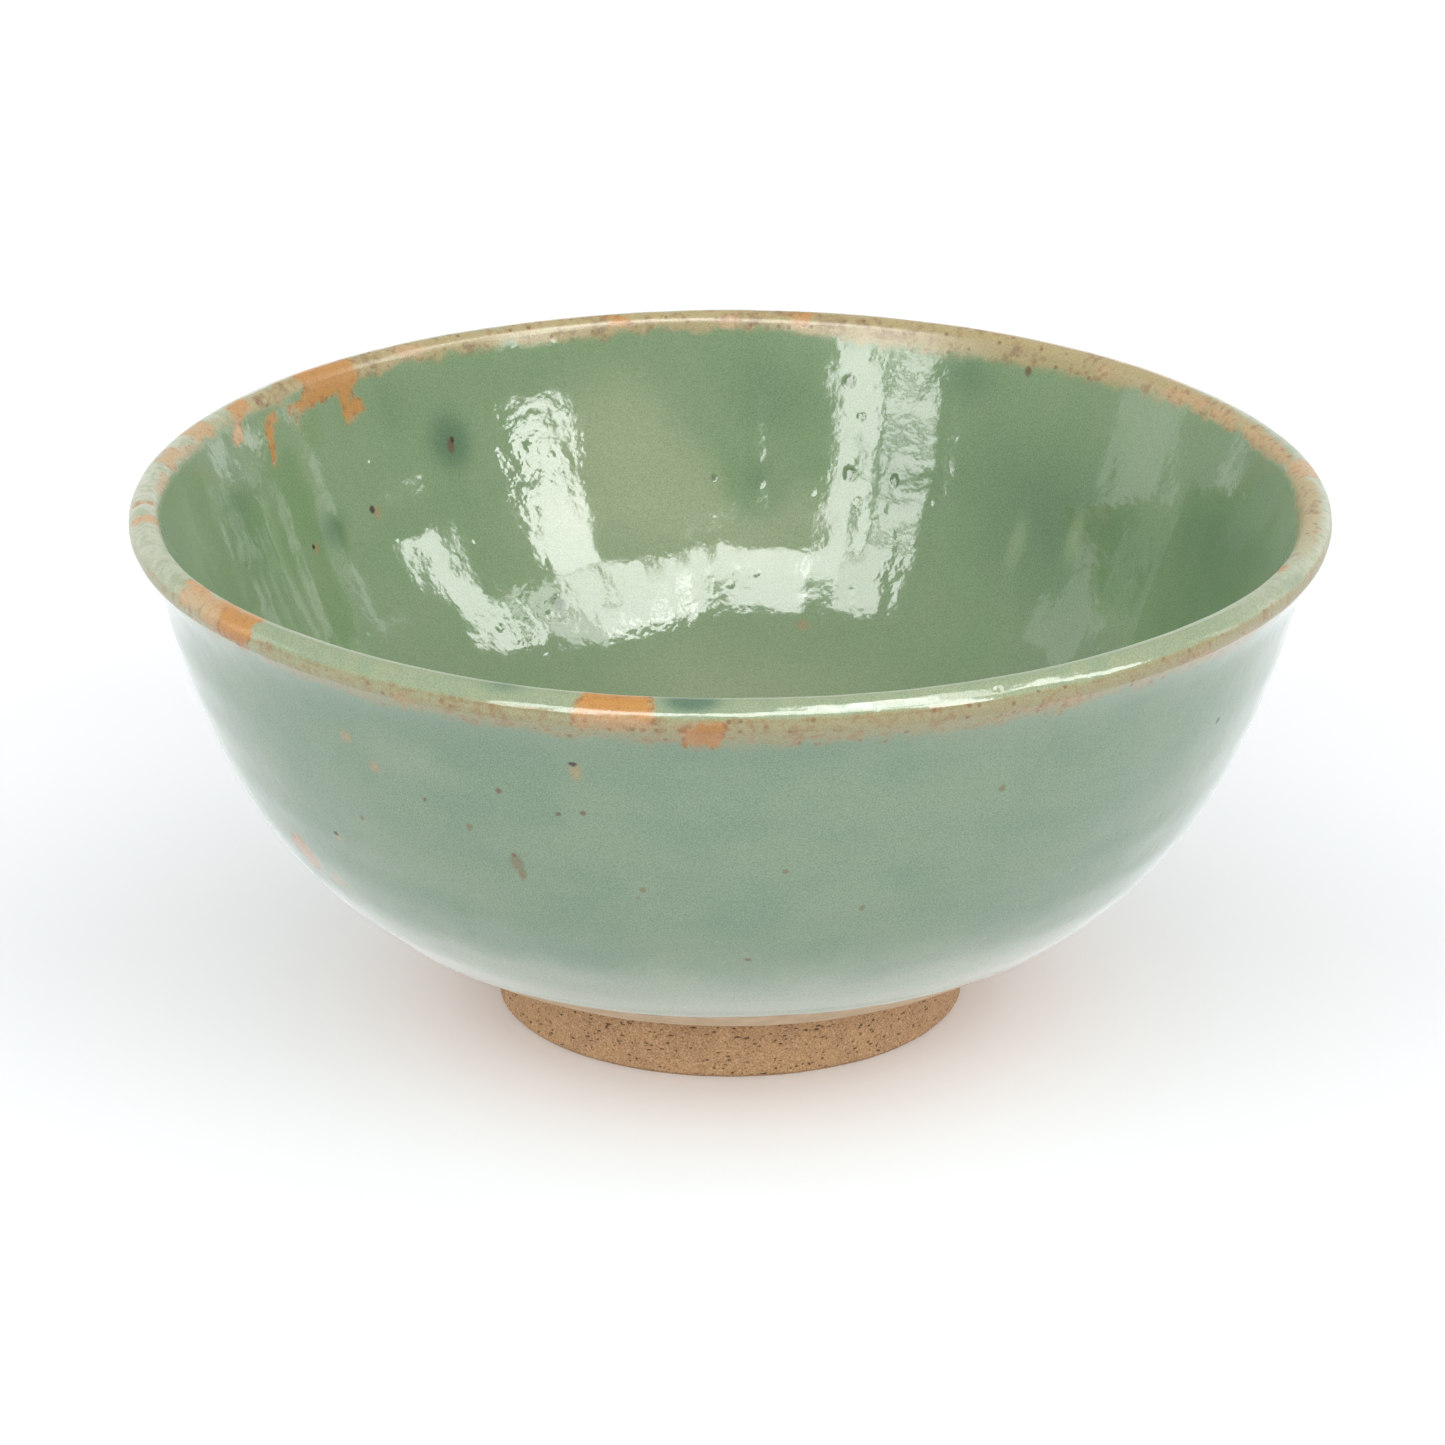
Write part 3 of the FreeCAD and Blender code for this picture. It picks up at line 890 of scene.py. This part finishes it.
class Glaze(Paint):
    """The bowl's glaze. The three glazes share it, so that they run into each other."""

    def __init__(self, name):
        super().__init__(name)
        self.fine = self.noise(0.9, 3.0)
        self.middle = self.noise(3.0, 3.0)
        self.broad = self.noise(11.0, 2.0)
        self.inner, self.thin = self.attribute("inner"), self.attribute("thin")
        self.along = self.attribute("along")
        self.cloud = self.plus(self.attribute("cloud"), self.times(self.broad, 0.5))

    def outside(self):
        """Blue-green, with painted light from the floor making it paler low down, and with deeper and
        hazier clouds.
        """
        banded = self.noise(6.0, 2.0, (0.12, 0.12, 1.0))
        tone = self.step(self.plus(self.broad, self.times(banded, 0.8)), -0.22, 0.22)
        colour = self.mix(tone, CELADON, CELADON_DEEP)
        # painted light: the glaze is painted paler low down, where light bounces up from the white floor
        height = self.plus(self.along, self.times(self.broad, 6.0))
        low = self.step(height, GLAZE_STOP + 20.0, GLAZE_STOP + 4.5)
        colour = self.mix(self.times(low, 0.9), colour, CELADON_FLOOR_BOUNCE)
        colour = self.mix(self.step(self.cloud, 0.1, 1.0), colour, CELADON_CLOUD)
        return self.mix(self.step(self.cloud, -0.1, -0.7), colour, CELADON_HAZE)

    def inside(self):
        """Sage, streaked down the wall, with deeper and more olive clouds."""
        streaky = self.noise(4.0, 2.0, (1.0, 1.0, 0.14))
        tone = self.step(self.plus(self.broad, self.times(streaky, 0.7)), -0.3, 0.3)
        colour = self.mix(tone, SAGE, SAGE_WARM)
        colour = self.mix(self.step(self.cloud, 0.05, 0.9), colour, SAGE_DEEP)
        return self.mix(self.step(self.cloud, -0.05, -0.8), colour, SAGE_OLIVE)

    def over_lip(self, colour):
        """Pale over the lip, with a painted creamy reflection at its sides and back."""
        over = self.times(
            self.step(self.along, -0.5, 1.0),
            self.step(self.along, LIP_LENGTH + 1.0, LIP_LENGTH - 0.8),
        )
        pale = self.times(over, self.step(self.cloud, 0.7, 0.0))
        lip_colour = self.mix(self.step(self.middle, -0.2, 0.2), LIP_PALE, LIP_GREEN)
        mottle = self.step(self.plus(self.middle, self.fine), -0.35, 0.15)
        # painted reflection: the lip is painted creamier at its sides and back, where broad light
        # reflects in it
        side_reflection = self.times(self.attribute("side"), mottle)
        return self.mix(self.times(pale, 0.85), colour, self.mix(side_reflection, lip_colour, LIP_CREAM_REFLECTION))

    def thin_edges(self, colour):
        """Tan and brown, with flecks, where the glaze has drawn thin."""
        uneven = self.plus(self.times(self.fine, 0.8), self.times(self.middle, 0.7))
        drawn = self.plus(self.thin, uneven)
        tan = self.mix(self.step(self.along, 2.4, 1.4), EDGE_TAN, BAND_TAN)
        mottle = self.step(self.plus(self.middle, self.fine), -0.06, 0.28, 0.0, 0.85)
        tan = self.mix(mottle, tan, BAND_BROWN)
        colour = self.mix(self.step(drawn, 0.10, 1.00, 0.0, 0.92), colour, tan)
        fleck = self.times(self.dots(1.3, 0.12, 0.40, (0.58, 0.60)), self.step(drawn, 0.25, 0.6))
        return self.mix(self.times(fleck, 0.75), colour, BROWN)

    def bare_patches(self, colour):
        """Orange clay where there is hardly any glaze, with a scorched edge."""
        uneven = self.plus(self.times(self.middle, 3.2), self.times(self.fine, 1.9))
        deep = self.plus(self.attribute("patch"), uneven)
        strength = self.attribute("strength")
        bare = self.step(deep, -0.45, 0.75)
        depth = self.step(self.plus(strength, self.times(self.middle, 0.5)), 0.45, 0.95)
        clay = self.mix(depth, ORANGE_PALE, ORANGE)
        edge = self.times(self.step(deep, -0.1, 0.25), self.step(deep, 1.1, 0.35))
        clay = self.mix(self.times(edge, self.step(self.fine, -0.02, 0.14, 0.0, 0.55)), clay, BROWN)
        clay = self.mix(self.step(self.fine, 0.05, 0.22, 0.0, 0.35), clay, BROWN)
        # painted shade: bare clay is painted darker on the outer face of the lip, below its highlight
        # line
        shaded = self.mix(1.0, clay, ORANGE_IN_SHADE, "MULTIPLY")
        clay = self.mix(self.step(self.along, 2.2, 0.8), clay, shaded)
        shown = self.times(bare, self.step(strength, 0.1, 0.75, 0.25, 1.0))
        return self.mix(shown, colour, clay), bare

    def skin_height(self):
        """Orange peel and pinholes, both stronger in the dimpled places."""
        dimple = self.attribute("dimple")
        height = self.times(self.noise(1.9, 2.0), self.plus(0.05, self.times(dimple, 0.14)))
        far, dice = self.cells(3.2, 9.0)
        chosen = self.step(self.plus(dice, self.times(dimple, 0.3)), 0.74, 0.77)
        pin = self.times(self.step(far, 0.15, 0.75, 1.0, 0.0), chosen)
        height = self.plus(height, self.times(pin, -0.045))
        return self.plus(height, self.times(self.fine, 0.012))

    def single_marks(self, colour, height):
        """The marks listed one by one."""
        colour = self.mix(self.times(self.marks(HALOS, 0.6), 0.55), colour, HALO)
        colour = self.mix(self.times(self.marks(SMEARS, 0.5), 0.68), colour, SMEAR)
        colour = self.mix(self.times(self.marks(RUST_SPOTS, 0.5), 0.72), colour, RUST)
        pits = self.marks(PITS, 0.5)
        colour = self.mix(self.times(pits, 0.55), colour, PIT_GREEN)
        colour = self.mix(self.times(self.marks(IRON_SPOTS, 0.4), 0.92), colour, IRON)
        return colour, self.plus(height, self.times(pits, -0.06))

    def grained(self, colour):
        """A fine grain, a fifth darker to a fifth lighter."""
        darker = self.mix(1.0, colour, (0.80, 0.80, 0.80), "MULTIPLY")
        lighter = self.mix(1.0, colour, (1.20, 1.20, 1.20), "MULTIPLY")
        return self.mix(self.step(self.noise(0.17, 2.0), -0.3, 0.3), darker, lighter)

    def roughness(self, bare):
        """Glossy, but less so where the glaze is bare, dull or dry."""
        mottle = self.times(self.step(self.middle, -0.2, 0.3), 0.03)
        rough = self.plus(self.times(bare, 0.10), self.plus(0.075, mottle))
        dry = self.times(self.thin, self.step(self.along, 3.0, 4.6))
        duller = self.plus(self.times(self.attribute("dull"), 0.48), self.times(dry, 0.18))
        return self.plus(rough, duller)


def glaze(name, marked, haze):
    """One of the glazes, with or without the single marks, and with this much sheen."""
    p = Glaze(name)
    colour = p.mix(p.inner, p.outside(), p.inside())
    colour = p.thin_edges(p.over_lip(colour))
    colour, bare = p.bare_patches(colour)
    colour = p.mix(p.times(p.dots(7.0, 0.12, 0.30, (0.80, 0.81), 3.0), 0.45), colour, BROWN)
    height = p.skin_height()
    if marked:
        colour, height = p.single_marks(colour, height)
    height = p.plus(height, p.times(bare, -0.03))
    p.surface.inputs["IOR"].default_value = GLAZE_IOR
    p.surface.inputs["Sheen Weight"].default_value = haze
    p.surface.inputs["Sheen Roughness"].default_value = SHEEN_ROUGHNESS
    p.surface.inputs["Sheen Tint"].default_value = SHEEN_TINT
    return p.finish(p.grained(colour), p.roughness(bare), height)


SLIP_CREAM = (0.540, 0.400, 0.265)
SLIP_TAN = (0.460, 0.335, 0.215)
SLIP_SPECK = (0.30, 0.16, 0.08)
GLAZE_EDGE_SHADOW = (0.22, 0.11, 0.05)
CLAY_TAN = (0.470, 0.290, 0.145)
CLAY_BROWN = (0.395, 0.238, 0.122)
CLAY_LIGHT = (0.62, 0.43, 0.26)
CLAY_DARK = (0.20, 0.105, 0.055)
CLAY_SPECK = (0.07, 0.035, 0.02)
POCK_SHADE = (0.080, 0.038, 0.020)


def slip_clay():
    """Smooth pale slip, with a painted shadow along the edge of the glaze and where the slip runs under
    it.
    """
    p = Paint("slip")
    fine, middle = p.noise(0.5, 3.0), p.noise(2.5, 3.0)
    colour = p.mix(p.step(middle, -0.2, 0.2), SLIP_CREAM, SLIP_TAN)
    colour = p.mix(p.step(fine, 0.08, 0.25, 0.0, 0.35), colour, SLIP_SPECK)
    # painted shadow: a dark line on the slip just below the glaze's edge and under the glaze
    under = p.plus(p.attribute("below_glaze"), p.times(middle, 0.5))
    colour = p.mix(p.step(under, -0.75, -0.35, 0.0, 0.6), colour, GLAZE_EDGE_SHADOW)
    return p.finish(colour, 0.8, p.times(fine, 0.05))


def bare_clay(name, pocked):
    """Gritty tan clay, with dark specks, and painted shade in the pocks where the mesh has them."""
    p = Paint(name)
    fine, middle, tiny = p.noise(0.55, 3.0), p.noise(3.0, 3.0), p.noise(0.22, 1.0)
    colour = p.mix(p.step(middle, -0.25, 0.25), CLAY_TAN, CLAY_BROWN)
    colour = p.mix(p.step(tiny, 0.02, 0.22, 0.0, 0.75), colour, CLAY_LIGHT)
    colour = p.mix(p.step(tiny, -0.04, -0.24, 0.0, 0.75), colour, CLAY_DARK)
    colour = p.mix(p.times(p.dots(0.9, 0.10, 0.24, (0.80, 0.82)), 0.75), colour, CLAY_SPECK)
    if pocked:
        # painted shade: darker where the mesh is pocked, the deeper pocks darker
        colour = p.mix(p.step(p.attribute("pock"), 0.04, 0.13, 0.0, 0.90), colour, POCK_SHADE)
    return p.finish(colour, 0.9, p.plus(p.times(fine, 0.08), p.times(tiny, 0.05)))


for piece, material, node, slot in (
    (outer, glaze("celadon_glaze", True, 0.52), "outer_glaze", "celadon_glaze"),
    (lip, glaze("lip_glaze", False, 0.10), "lip_glaze", "lip_glaze"),
    (inner, glaze("sage_glaze", True, 0.12), "inner_glaze", "sage_glaze"),
    (slip, slip_clay(), "slip_band", "slip"),
    (foot, bare_clay("foot_clay", True), "foot_ring", "foot_clay"),
    (clay, bare_clay("clay", False), "clay_body", "clay"),
):
    piece.data.materials.append(material)
    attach(piece, "root")
    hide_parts(node)


# ---------------------------------------------------------------- floor, light and camera

FLOOR_HALF_WIDTH = 3.0
FLOOR_COLOUR = (0.938, 0.948, 0.965)
FLOOR_ROUGHNESS = 0.9


def make_floor():
    mesh = bpy.data.meshes.new("floor")
    s = FLOOR_HALF_WIDTH
    mesh.from_pydata([(-s, -s, 0), (s, -s, 0), (s, s, 0), (-s, s, 0)], [], [(0, 1, 2, 3)])
    floor = bpy.data.objects.new("floor", mesh)
    bpy.context.scene.collection.objects.link(floor)
    paper = Paint("paper")
    paper.surface.inputs["Specular IOR Level"].default_value = 0.0
    mesh.materials.append(paper.finish(FLOOR_COLOUR, FLOOR_ROUGHNESS))


make_floor()

LIGHT_DISTANCE = 1.6
WORLD_STRENGTH = 0.69
# Windows that show only in reflections: azimuth from the front towards +X, elevation,
# width and height in degrees, radiance
WINDOWS = {
    "window_left_near": (-29.5, 33.0, 8.6, 33.0, 8.2),
    "window_left_far_low": (-42.1, 18.8, 9.4, 4.6, 7.2),
    "window_left_far_middle": (-42.1, 25.6, 9.4, 6.2, 7.2),
    "window_left_far_high": (-42.1, 39.8, 9.4, 19.6, 7.2),
    "window_right": (43.5, 30.4, 11.5, 26.0, 9.8),
    "window_side": (79.0, 35.5, 10.0, 35.0, 8.0),
    "skylight_0": (-17.0, 45.5, 11.6, 19.0, 8.6),
    "skylight_1": (0.0, 49.3, 10.4, 21.0, 8.6),
    "skylight_2": (16.0, 53.5, 9.5, 22.0, 8.6),
    "skylight_3": (32.0, 55.5, 9.1, 24.0, 8.6),
    "skylight_4": (48.0, 56.0, 9.1, 24.0, 8.6),
    "skylight_5": (63.0, 56.0, 8.0, 22.0, 5.0),
    "far_left": (-101.5, 18.5, 17.0, 30.0, 0.95),
    "far_left_edge": (-129.0, 6.0, 3.0, 14.0, 0.8),
    "far_right": (121.5, 6.5, 6.0, 16.0, 2.0),
    "far_right_edge": (131.0, 5.0, 3.0, 16.0, 1.6),
    "far_right_strip": (104.0, 17.0, 5.0, 28.0, 1.4),
    "backdrop": (180.0, 9.0, 80.0, 14.0, 1.2),
}
# Soft boxes that light surfaces but show in no reflection, in the same terms
SOFTBOXES = {
    "softbox_0": (-50.0, 30.0, 40.0, 34.0, 1.92),
    "softbox_1": (0.0, 27.0, 40.0, 30.0, 2.2),
    "softbox_2": (50.0, 30.0, 40.0, 34.0, 2.25),
    "softbox_3": (-110.0, 30.0, 40.0, 34.0, 1.36),
    "softbox_4": (110.0, 30.0, 40.0, 34.0, 1.58),
}


def make_panel(name, azimuth, elevation, width, height, radiance):
    """Rectangular light of this radiance, facing the bowl from this direction."""
    light = bpy.data.lights.new(name, "AREA")
    light.shape = "RECTANGLE"
    light.size = 2 * LIGHT_DISTANCE * math.tan(math.radians(width / 2))
    light.size_y = 2 * LIGHT_DISTANCE * math.tan(math.radians(height / 2))
    light.energy = radiance * math.pi * light.size * light.size_y
    obj = bpy.data.objects.new(name, light)
    a, e = math.radians(azimuth), math.radians(elevation)
    towards = Vector((math.sin(a) * math.cos(e), -math.cos(a) * math.cos(e), math.sin(e)))
    obj.location = Vector((0, 0, BOWL_HEIGHT * MM)) + towards * LIGHT_DISTANCE
    obj.rotation_euler = towards.to_track_quat("Z", "Y").to_euler()
    bpy.context.scene.collection.objects.link(obj)
    return obj


for name, facts in WINDOWS.items():
    make_panel(name, *facts).visible_diffuse = False
for name, facts in SOFTBOXES.items():
    make_panel(name, *facts).visible_glossy = False

world = bpy.data.worlds.new("studio")
bpy.context.scene.world = world
world.use_nodes = True
background = world.node_tree.nodes["Background"]
background.inputs["Color"].default_value = (1.0, 1.0, 1.0, 1.0)
background.inputs["Strength"].default_value = WORLD_STRENGTH
bpy.context.scene.view_settings.view_transform = "Standard"

CAMERA_DISTANCE = 840.0
CAMERA_PITCH = 21.88
SENSOR = 36.0
LENS = 177.26
TURN_UP = 0.1643
TURN_LEFT = 0.0676
cam_data = bpy.data.cameras.new("camera")
cam_data.lens = LENS
cam_data.sensor_width = SENSOR
camera = bpy.data.objects.new("camera", cam_data)
pitch = math.radians(CAMERA_PITCH)
aim = Vector((0, 0, BOWL_HEIGHT / 2))
away = Vector((0, -math.cos(pitch), math.sin(pitch))) * CAMERA_DISTANCE
camera.location = (aim + away) * MM
# turned a little past the aim, so that the bowl sits right of and below the middle
camera.rotation_euler = (math.radians(90 + TURN_UP) - pitch, 0.0, math.radians(TURN_LEFT))
bpy.context.scene.collection.objects.link(camera)
bpy.context.scene.camera = camera
